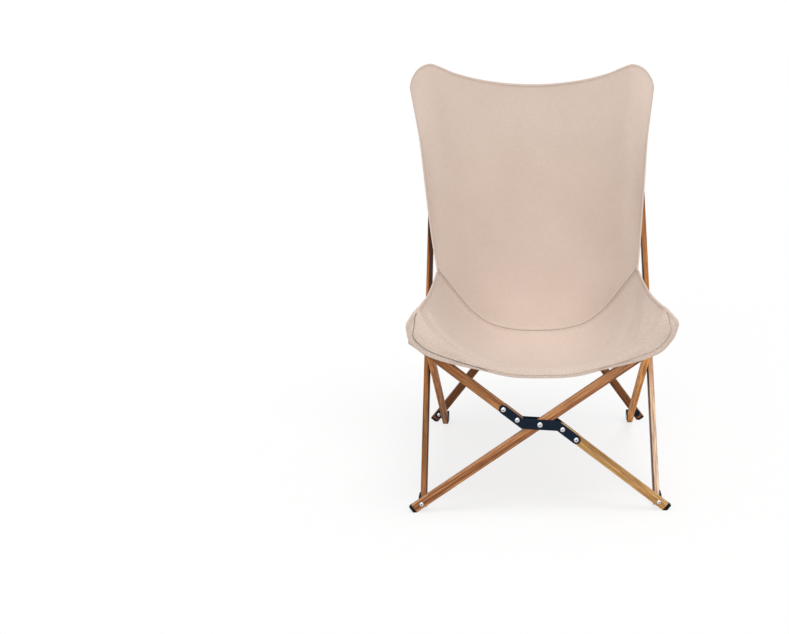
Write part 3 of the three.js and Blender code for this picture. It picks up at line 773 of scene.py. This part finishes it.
def half_thickness(edge_distance, seam_distance):
    """Half of the cloth's thickness from the distances to a hemmed edge and to a seam."""
    flat_hem = smooth_step(edge_distance, HEM - 0.002, HEM + 0.0006)
    flat_seam = smooth_step(seam_distance, SEAM_ALLOWANCE - 0.001, SEAM_ALLOWANCE + 0.002)
    half = CLOTH / 2 * (1 + HEM_GAIN * (1 - flat_hem))
    half = half * (1 + SEAM_GAIN * (1 - flat_seam))
    for distance in (edge_distance, seam_distance):
        round_off = np.clip(distance / half, 0, 1)
        half = half * np.sqrt(np.clip(1 - (1 - round_off) ** 2, 0.01, 1))
    return half


def linked(name, form, material):
    """Puts a finished form into the scene as one piece of cloth or thread."""
    piece = object_from(name, form)
    piece.data.materials.append(material)
    return piece


def sheet_object(name, points, normals, half, flat, finish):
    """Closed sheet from a grid of middle points, their normals and half thicknesses."""
    rows, columns = points.shape[:2]
    form = bmesh.new()
    layers = []
    for side in (1, -1):
        placed = points + normals * (half * side)[..., None]
        layers.append([[form.verts.new(placed[r, c]) for c in range(columns)] for r in range(rows)])
    uv = form.loops.layers.uv.new("flat")
    front, back = layers

    def face(corners, cells):
        made = form.faces.new(corners)
        made.smooth = True
        for loop, (r, c) in zip(made.loops, cells):
            loop[uv].uv = flat[r, c]

    for r in range(rows - 1):
        for c in range(columns - 1):
            cells = [(r, c), (r + 1, c), (r + 1, c + 1), (r, c + 1)]
            face([front[i][j] for i, j in cells], cells)
            cells.reverse()
            face([back[i][j] for i, j in cells], cells)
    ring = [(0, c) for c in range(columns)] + [(r, columns - 1) for r in range(1, rows)]
    ring += [(rows - 1, c) for c in range(columns - 2, -1, -1)] + [(r, 0) for r in range(rows - 2, 0, -1)]
    for (r, c), (i, j) in zip(ring, ring[1:] + ring[:1]):
        face([front[r][c], front[i][j], back[i][j], back[r][c]], [(r, c), (i, j), (i, j), (r, c)])
    bmesh.ops.recalc_face_normals(form, faces=form.faces)
    return linked(name, form, finish)


def flat_grid(points):
    """Flat coordinates of a grid of points: run along each row and down each column, in metres."""
    step = np.linalg.norm(np.diff(points, axis=1), axis=2)
    run = np.concatenate((np.zeros((len(points), 1)), np.cumsum(step, axis=1)), axis=1)
    run -= run[:, [run.shape[1] // 2]]
    fall = np.linalg.norm(np.diff(points, axis=0), axis=2)
    down = np.concatenate((np.zeros((1, points.shape[1])), np.cumsum(fall, axis=0)), axis=0)
    return np.stack((run, -down), axis=-1)


def grid_normals(points):
    """Unit normals of a grid of points, on the side where the sitter is."""
    normals = np.cross(np.gradient(points, axis=0), np.gradient(points, axis=1))
    return normals / np.linalg.norm(normals, axis=-1, keepdims=True)


def side_gap_of(flat):
    """Distance from the nearer side edge, from the flat coordinates of a grid."""
    return np.minimum(flat[..., 0] - flat[:, :1, 0], flat[:, -1:, 0] - flat[..., 0])


def ridge(u, s, start, end, width, height):
    """Soft crease between two places of a panel, in shares; it fades at both ends."""
    a, b = np.array(start), np.array(end)
    way = b - a
    t = ((u - a[0]) * way[0] + (s - a[1]) * way[1]) / (way @ way)
    off = np.hypot(u - a[0] - t * way[0], s - a[1] - t * way[1])
    fade = smooth_step(t, -0.15, 0.25) * (1 - smooth_step(t, 0.7, 1.15))
    return height * fade * np.exp(-((off / width) ** 2))


def fold_line(u, s, places, width, height, inner=None):
    """Soft crease along a curved line of places on the seat, fading at both ends; its widths to the outer
    and the inner side are in metres."""
    line = spline(places)(np.linspace(0, 1, FOLD_POINTS))
    off = np.hypot((u[..., None] - line[:, 0]) * SEAT_HALF, (s[..., None] - line[:, 1]) * SEAT_DEEP)
    near = off.argmin(axis=-1)
    outward = (np.abs(u) - np.abs(line[near, 0])) * SEAT_HALF + (s - line[near, 1]) * SEAT_DEEP
    width = np.where(outward > 0, width, inner or width)
    t = near / (FOLD_POINTS - 1)
    fade = smooth_step(t, -0.02, 0.08) * (1 - smooth_step(t, 0.65, 1.0))
    return height * fade * np.exp(-((off.min(axis=-1) / width) ** 2))


def unevenness(points, size, height):
    """Slow random waviness of the cloth."""
    out = np.zeros(points.shape[:2])
    for r in range(points.shape[0]):
        for c in range(points.shape[1]):
            out[r, c] = noise.noise(Vector(points[r, c]) / size)
    return out * height


BACK_CREASES = [
    ((0.98, 0.10), (0.62, 0.34), 0.10, 0.0030), ((-0.98, 0.10), (-0.64, 0.32), 0.09, 0.0024),
    ((0.80, 0.20), (0.84, 0.75), 0.09, -0.0026), ((-0.78, 0.30), (-0.86, 0.80), 0.10, -0.0016),
    ((0.95, 0.92), (0.55, 0.80), 0.08, -0.0022),
]
SEAT_CREASES = [
    ((-0.80, 0.50), (-0.36, 0.86), 0.060, 0.0016), ((0.90, 0.30), (0.55, 0.85), 0.050, -0.0030),
    ((0.97, 0.45), (0.70, 0.92), 0.045, 0.0024), ((0.80, 0.25), (0.40, 0.75), 0.050, 0.0020),
    ((0.62, 0.30), (0.30, 0.80), 0.050, -0.0014),
]
CASING_TOP = [(1.0, 0.77), (0.955, 0.86), (0.885, 0.93), (0.78, 0.972), (0.62, 0.995), (0.42, 1.005)]
CASING_LIP = 0.024
CASING_DIP = [(0.97, 0.72), (0.90, 0.82), (0.82, 0.885), (0.72, 0.93), (0.56, 0.955), (0.40, 0.965)]
LEFT_SHELF = [
    (-0.97, 0.68), (-0.90, 0.78), (-0.82, 0.85), (-0.72, 0.90), (-0.52, 0.935),
    (-0.26, 0.95), (0.0, 0.955), (0.3, 0.955), (0.6, 0.95),
]


def seat_folds(u, s):
    out = np.zeros_like(u)
    for hand, top, dip in ((-1, 0.0074, -0.0044), (1, 0.0036, -0.0020)):
        out += fold_line(u, s, [(hand * a, b) for a, b in CASING_TOP], 0.0045, top * 0.5)
        out += fold_line(u, s, [(hand * a, b + CASING_LIP) for a, b in CASING_TOP], 0.0075, top * 0.8)
        out += fold_line(u, s, [(hand * a, b) for a, b in CASING_DIP], 0.010, dip)
    out += fold_line(u, s, LEFT_SHELF, 0.025, 0.0085, inner=0.055)
    for crease in SEAT_CREASES:
        out += ridge(u, s, *crease)
    return out


def seam_roll(seam_gap, height):
    """The cloth swells beside the seam, where its turned edge lies behind it."""
    return height * np.exp(-(((seam_gap - SEAM_ROLL_AT) / SEAM_ROLL_WIDE) ** 2))


u_line = stations(SLING_WIDE, 110, True, True) * 2 - 1
back_s = stations(BACK_DEEP, 110, True, True)
u, s = np.meshgrid(u_line, back_s)
back_points = back_surface(u, s)
back_normals = grid_normals(back_points)
back_flat = flat_grid(back_points)
side_gap = side_gap_of(back_flat)
top_gap = -back_flat[..., 1]
seam_gap = back_flat[..., 1] - back_flat[-1:, :, 1]
lift = sum(ridge(u, s, *crease) for crease in BACK_CREASES) + unevenness(back_points, 0.16, 0.0016)
lift *= smooth_step(seam_gap, 0.0, 0.05) * smooth_step(np.minimum(side_gap, top_gap), -0.02, 0.05)
lift += seam_roll(seam_gap, 0.0010)
back_points = askew(back_points + back_normals * lift[..., None])
back_half = half_thickness(np.minimum(side_gap, top_gap), seam_gap)
back_panel = sheet_object("canvas_back", back_points, back_normals, back_half, back_flat, canvas_finish)

CASING_STEP = 0.0028
LEFT_CORNER_SAG = np.array((-0.0018, 0.0, -0.0038))
RIGHT_CORNER_DRAW = np.array((-0.0020, 0.0, 0.0042))
seat_s = stations(SEAT_DEEP, 84, True, False)
hem_s = np.array((0.08, 0.16, 0.25, 0.35, 0.45, 0.55, 0.65, 0.75, 0.84, 0.91, 0.95, 0.98, 1.0))
u, s = np.meshgrid(u_line, seat_s)
u_hem, s_hem = np.meshgrid(u_line, hem_s)
seat_points = np.concatenate((seat_surface(u, s), hem_surface(u_hem, s_hem)))
u, s = np.meshgrid(u_line, np.concatenate((seat_s, 1 + HEM_SHARE * hem_s)))
seat_normals = grid_normals(seat_points)
seat_flat = flat_grid(seat_points)
side_gap = side_gap_of(seat_flat)
front_gap = seat_flat[..., 1] - seat_flat[-1:, :, 1]
seam_gap = -seat_flat[..., 1]
lift = unevenness(seat_points, 0.14, 0.0014) * smooth_step(np.minimum(side_gap, front_gap), -0.01, 0.05)
lift = (lift + seat_folds(u, s)) * smooth_step(seam_gap, 0.0, 0.05) * smooth_step(front_gap, 0.0, 0.016)
lift += seam_roll(seam_gap, 0.0030)
seat_points = seat_points + seat_normals * lift[..., None]
step = smooth_step(s, 0.76, 0.80) * (1 - smooth_step(s, 0.84, 1.0)) * smooth_step(np.abs(u), 0.90, 1.0)
seat_points[..., 0] += np.sign(u) * CASING_STEP * step
for middle, wide, move in ((-0.94, 0.07, LEFT_CORNER_SAG), (0.88, 0.09, RIGHT_CORNER_DRAW)):
    near = np.exp(-(((u - middle) / wide) ** 2)) * smooth_step(s, 0.96, 1.03)
    seat_points += near[..., None] * move
seat_points = askew(seat_points)
seat_half = half_thickness(np.minimum(side_gap, front_gap), seam_gap)
seat_panel = sheet_object("canvas_seat", seat_points, seat_normals, seat_half, seat_flat, seat_finish)

# %% [markdown]
# ## Stitches
# Each row of stitches follows a line on its panel: the seam, the hems and the casings at the corners. A
# stitch is a long ball of thread that lies half in the cloth.

# %%
STITCH, STITCH_GAP = 0.0038, 0.0007
STITCH_LIFT = 0.3
HEM_STITCH, FRONT_STITCH, SEAM_STITCH, CASING_STITCH = 0.00042, 0.0007, 0.0010, 0.0009
HEM_ROW, FRONT_ROW, SEAM_ROW = 0.0062, 0.006, 0.0022
FRONT_ROW_END, EDGE_STATIONS = 0.62, 6
TRACK_POINTS, TRACK_PASSES = 200, 60
CASING_U, CASING_LAST_U = (0.36, 0.50, 0.62, 0.80, 0.93), 0.91
CASING_FRONT = (0.003, 0.007, 0.010, 0.012, 0.014)
CASING_S, CASING_LAST_S = (0.86, 0.92, 0.985), 0.97
CASING_INWARD = (0.005, 0.010, 0.015)


def panel_line(points, normals, half, rows, columns):
    """Points and normals on a panel's upper face at fractional places of its grid."""
    r = np.clip(np.floor(rows).astype(int), 0, points.shape[0] - 2)
    c = np.clip(np.floor(columns).astype(int), 0, points.shape[1] - 2)
    a, b = (rows - r)[:, None], (columns - c)[:, None]

    def blend(grid):
        upper = grid[r, c] * (1 - b) + grid[r, c + 1] * b
        lower = grid[r + 1, c] * (1 - b) + grid[r + 1, c + 1] * b
        return upper * (1 - a) + lower * a

    normal = blend(normals)
    normal /= np.linalg.norm(normal, axis=1, keepdims=True)
    return blend(points) + normal * blend(half[..., None]), normal


stitch_form = bmesh.new()
bmesh.ops.create_uvsphere(stitch_form, u_segments=6, v_segments=6, radius=1.0)
for face in stitch_form.faces:
    face.smooth = True
stitch_mesh = bpy.data.meshes.new("stitch")
stitch_form.to_mesh(stitch_mesh)
stitch_form.free()


def stitch_row(form, panel, rows, columns, radius):
    """Adds stitches along a line of fractional places of a panel's grid."""
    places, normals = panel_line(*panel, rows, columns)
    run = run_of(places)
    for i in range(int(run[-1] // (STITCH + STITCH_GAP))):
        marks = i * (STITCH + STITCH_GAP) + STITCH * np.array((0.0, 0.5, 1.0))
        at = sampled(places, run, marks)
        up = sampled(normals, run, marks[1])
        way = at[2] - at[0]
        way /= np.linalg.norm(way)
        aside = np.cross(up, way)
        aside /= np.linalg.norm(aside)
        up = np.cross(way, aside)
        centre = at[1] + up * radius * STITCH_LIFT
        place = Matrix.Identity(4)
        for k in range(3):
            place[k][:] = (aside[k] * radius, up[k] * radius, way[k] * STITCH / 2, centre[k])
        one = stitch_mesh.copy()
        one.transform(place)
        form.from_mesh(one)
        bpy.data.meshes.remove(one)


def columns_at(flat, distance, hand):
    """Fractional grid columns at a distance from one side edge, for every row."""
    out = []
    count = flat.shape[1]
    for row in flat[..., 0]:
        gap = row - row[0] if hand < 0 else row[-1] - row
        order = slice(None) if hand < 0 else slice(None, None, -1)
        out.append(np.interp(distance, gap[order], np.arange(count)[order]))
    return np.array(out)


def rows_at(gap, distance):
    """Fractional grid rows where a gap, which grows or shrinks down each column, has the given value."""
    out = []
    for column, value in zip(gap.T, np.broadcast_to(distance, gap.shape[1])):
        order = np.argsort(column)
        out.append(np.interp(value, column[order], np.arange(len(column))[order]))
    return np.array(out)


def evened(track):
    """A track of rows and columns with even steps and a rounded corner."""
    run = run_of(track)
    track = sampled(track, run, np.linspace(0, run[-1], TRACK_POINTS))
    for _ in range(TRACK_PASSES):
        track[1:-1] = (track[:-2] + 2 * track[1:-1] + track[2:]) / 4
    return track


every_column = np.arange(len(u_line), dtype=float)
back_sheet = (back_points, back_normals, back_half)
seat_sheet = (seat_points, seat_normals, seat_half)

back_form = bmesh.new()
sides = slice(EDGE_STATIONS, -1)
top = slice(EDGE_STATIONS, -EDGE_STATIONS)
for hand in (-1, 1):
    columns = columns_at(back_flat, HEM_ROW, hand)
    rows = np.arange(len(columns), dtype=float)
    stitch_row(back_form, back_sheet, rows[sides], columns[sides], HEM_STITCH)
rows = rows_at(-back_flat[..., 1], HEM_ROW)
stitch_row(back_form, back_sheet, rows[top], every_column[top], HEM_STITCH)
back_stitches = linked("back_stitches", back_form, hem_thread)

seat_form = bmesh.new()
for hand in (-1, 1):
    columns = columns_at(seat_flat, HEM_ROW, hand)[: len(seat_s)]
    rows = np.arange(len(columns), dtype=float)
    stitch_row(seat_form, seat_sheet, rows[2:], columns[2:], HEM_STITCH)
rows = rows_at(front_gap, FRONT_ROW)
middle = np.abs(u_line) < FRONT_ROW_END
stitch_row(seat_form, seat_sheet, rows[middle], every_column[middle], FRONT_STITCH)

seam_form = bmesh.new()
rows = rows_at(-seat_flat[..., 1], SEAM_ROW)
stitch_row(seam_form, seat_sheet, rows, every_column, SEAM_STITCH)

front_rows = rows_at(front_gap, np.interp(np.abs(u_line), CASING_U, CASING_FRONT))
inward = np.interp(seat_s, CASING_S, CASING_INWARD)
climb = np.flatnonzero((seat_s > CASING_S[0]) & (seat_s < CASING_LAST_S))[::-1]
for hand, form in ((-1, seam_form), (1, seat_form)):
    outer = np.flatnonzero((u_line * hand > CASING_U[0]) & (u_line * hand < CASING_LAST_U))
    outer = outer if hand > 0 else outer[::-1]
    side_columns = [columns_at(seat_flat[[r]], inward[r], hand)[0] for r in climb]
    track = evened(np.concatenate((
        np.stack((front_rows[outer], every_column[outer]), axis=1),
        np.stack((climb.astype(float), side_columns), axis=1),
    )))
    stitch_row(form, seat_sheet, track[:, 0], track[:, 1], CASING_STITCH)
seat_stitches = linked("seat_stitches", seat_form, hem_thread)
seam_stitches = linked("seam_stitches", seam_form, seam_thread_and_shade)
bpy.data.meshes.remove(stitch_mesh)

# %% [markdown]
# ## Pockets
# Behind each ear of the back a patch of canvas makes a pocket for the pole's tip: it is sewn to the ear
# along its sides and top, passes behind the pole and ends in an open mouth. Under each seat corner a short
# sock holds the bar's tip.

# %%
HALF_WIDTH, HALF_THICK, CLEAR = 0.010, 0.007, 0.0012
PATCH_WIDE, PATCH_LAST, PATCH_S = 0.145, 0.955, (0.012, 0.098)
PATCH_SIZE, PATCH_HALF = 0.10, 0.034
SOCK_CLEAR, SOCK_CLOTH, SOCK_START = 0.0004, 0.0010, 0.0106
SOCK_SIDES, SOCK_CORNER, SOCK_TAPER = 40, 0.25, 0.35
SOCK_STEP, SOCK_RISE = 0.0017, 0.002


def pole_pocket(side, hand):
    """Patch behind one ear; its middle runs over the pole's tip and down behind the pole."""
    tip = POLE_TIP * (hand, 1, 1)
    p, q = np.meshgrid(stations(PATCH_SIZE, 40, True, True), stations(PATCH_SIZE, 36, True, True))
    outward = np.linspace(0.5, 1.0, 200)
    over_pole = np.interp(POLE_X, askew(back_surface(outward * hand, 0.05))[:, 0] * hand, outward)
    reach = (over_pole - PATCH_WIDE, min(over_pole + PATCH_WIDE, PATCH_LAST))
    u = np.interp(p if hand > 0 else 1 - p, (0, 1), reach) * hand
    base = askew(back_surface(u, np.interp(q, (0, 1), PATCH_S)))
    base = base - grid_normals(base) * 2 * CLOTH
    on_pole = np.abs(base[..., 0] - tip[0])
    nearest = np.argmin(on_pole, axis=1)
    line = base[np.arange(len(base)), nearest] - tip
    start = (line[0] @ POLE_BACK, line[0] @ POLE_WAY)
    room = HALF_WIDTH + CLEAR + CLOTH
    end = line[-1] @ POLE_WAY
    path = [start, (-0.6 * room, 0.006), (0.35 * room, 0.004), (room, -0.008), (room, end)]
    middle = spline(path)(q[:, 0])
    move = np.outer(middle[:, 0] - line @ POLE_BACK, POLE_BACK)
    move = move + np.outer(middle[:, 1] - line @ POLE_WAY, POLE_WAY)
    hold = 1 - smooth_step(on_pole, HALF_THICK + CLEAR + CLOTH, PATCH_HALF)
    hold = hold * smooth_step(np.minimum(p, 1 - p), 0.0, 0.1)
    points = base + move[:, None, :] * hold[..., None]
    flat = flat_grid(points)
    edge = side_gap_of(flat)
    edge = np.minimum(edge, np.minimum(-flat[..., 1], flat[..., 1] - flat[-1:, :, 1]))
    half = half_thickness(edge, np.ones_like(edge))
    piece = sheet_object(f"canvas_{side}_pocket", points, grid_normals(points), half, flat, canvas_finish)
    return piece, points, flat


def tip_sock(side, tip, way):
    """Short closed sleeve round the end of a front bar."""
    across_way = np.cross(way, (0, 1, 0))
    depth_way = np.array((0.0, 1.0, 0.0))
    form = bmesh.new()
    uv = form.loops.layers.uv.new("flat")
    layers = []
    for grow in (SOCK_CLEAR + SOCK_CLOTH, SOCK_CLEAR):
        wide, thick = HALF_WIDTH + grow, HALF_THICK + grow
        reach = TIP_PAST_SEAT - SOCK_START + grow
        marks = [(-reach, 1.0), (-reach + 0.001, 1.0)]
        marks += [(-reach + reach * math.sin(a), math.cos(a)) for a in np.linspace(0.15, 1.45, 9)]
        rings = []
        for mark, share in marks:
            centre = tip + way * (mark + grow)
            ring = []
            for k in range(SOCK_SIDES):
                angle = 2 * math.pi * k / SOCK_SIDES
                c, v = math.cos(angle), math.sin(angle)
                a = wide * share * math.copysign(abs(c) ** SOCK_CORNER, c)
                b = thick * share**SOCK_TAPER * math.copysign(abs(v) ** SOCK_CORNER, v)
                ring.append(form.verts.new(centre + across_way * a + depth_way * b))
            rings.append(ring)
        layers.append(rings)
    chain = layers[0][::-1] + layers[1]
    for i, (one, two) in enumerate(zip(chain, chain[1:])):
        for k in range(SOCK_SIDES):
            j = (k + 1) % SOCK_SIDES
            face = form.faces.new((one[k], one[j], two[j], two[k]))
            face.smooth = True
            for loop, (r, c) in zip(face.loops, ((i, k), (i, k + 1), (i + 1, k + 1), (i + 1, k))):
                loop[uv].uv = (c * SOCK_STEP, r * SOCK_RISE)
    form.faces.new(chain[0])
    form.faces.new(chain[-1])
    bmesh.ops.recalc_face_normals(form, faces=form.faces)
    return linked(f"canvas_{side}_sock", form, canvas_finish)


lean = math.asin(HALF_ASIDE / FRONT_HALF)
steep = FRONT_ANGLE + lean
left_way = np.array((-math.cos(steep), 0.0, math.sin(steep)))
left_aside = np.array((-math.sin(steep), 0.0, -math.cos(steep))) * HALF_ASIDE
left_tip = FRONT_MIDDLE + left_aside + left_way * (FRONT_HALF * math.cos(lean) + TIP_PAST_SEAT)
right_tip = FRONT_MIDDLE + right_way * (FRONT_HALF + TIP_PAST_SEAT)

for side, hand in (("left", -1), ("right", 1)):
    pocket, points, flat = pole_pocket(side, hand)
    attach(pocket, f"{side}_pole")
    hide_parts(f"sling_top_{side}_pocket")
    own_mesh(pocket)
    width, length = np.ptp(flat[..., 0]), np.ptp(flat[..., 1])
for side, tip, way, body, node in (
    ("left", left_tip, left_way, "front_split", "front_split_bar_upper"),
    ("right", right_tip, right_way, "front_cross", "front_cross_bar"),
):
    sock = tip_sock(side, tip, way)
    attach(sock, body)
    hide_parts(f"sling_seat_{side}_pocket")

# %% [markdown]
# ## Hanging the sling
# The panels follow the frame as it folds: the back rides a pole and the seat rides its own body. Their cut
# sizes come from the lengths of their rows and columns.

# %%
hung_pieces = (
    (back_panel, "left_pole", "sling_back_panel", back_points, back_flat, [back_stitches]),
    (seat_panel, "sling_seat", "sling_seat_panel", seat_points, seat_flat, [seat_stitches, seam_stitches]),
)
for piece, body, node, points, flat, trims in hung_pieces:
    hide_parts(node)
    for cloth in (piece, *trims):
        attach(cloth, body)
        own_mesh(cloth)
    width, length = np.ptp(flat[..., 0]), np.ptp(flat[..., 1])
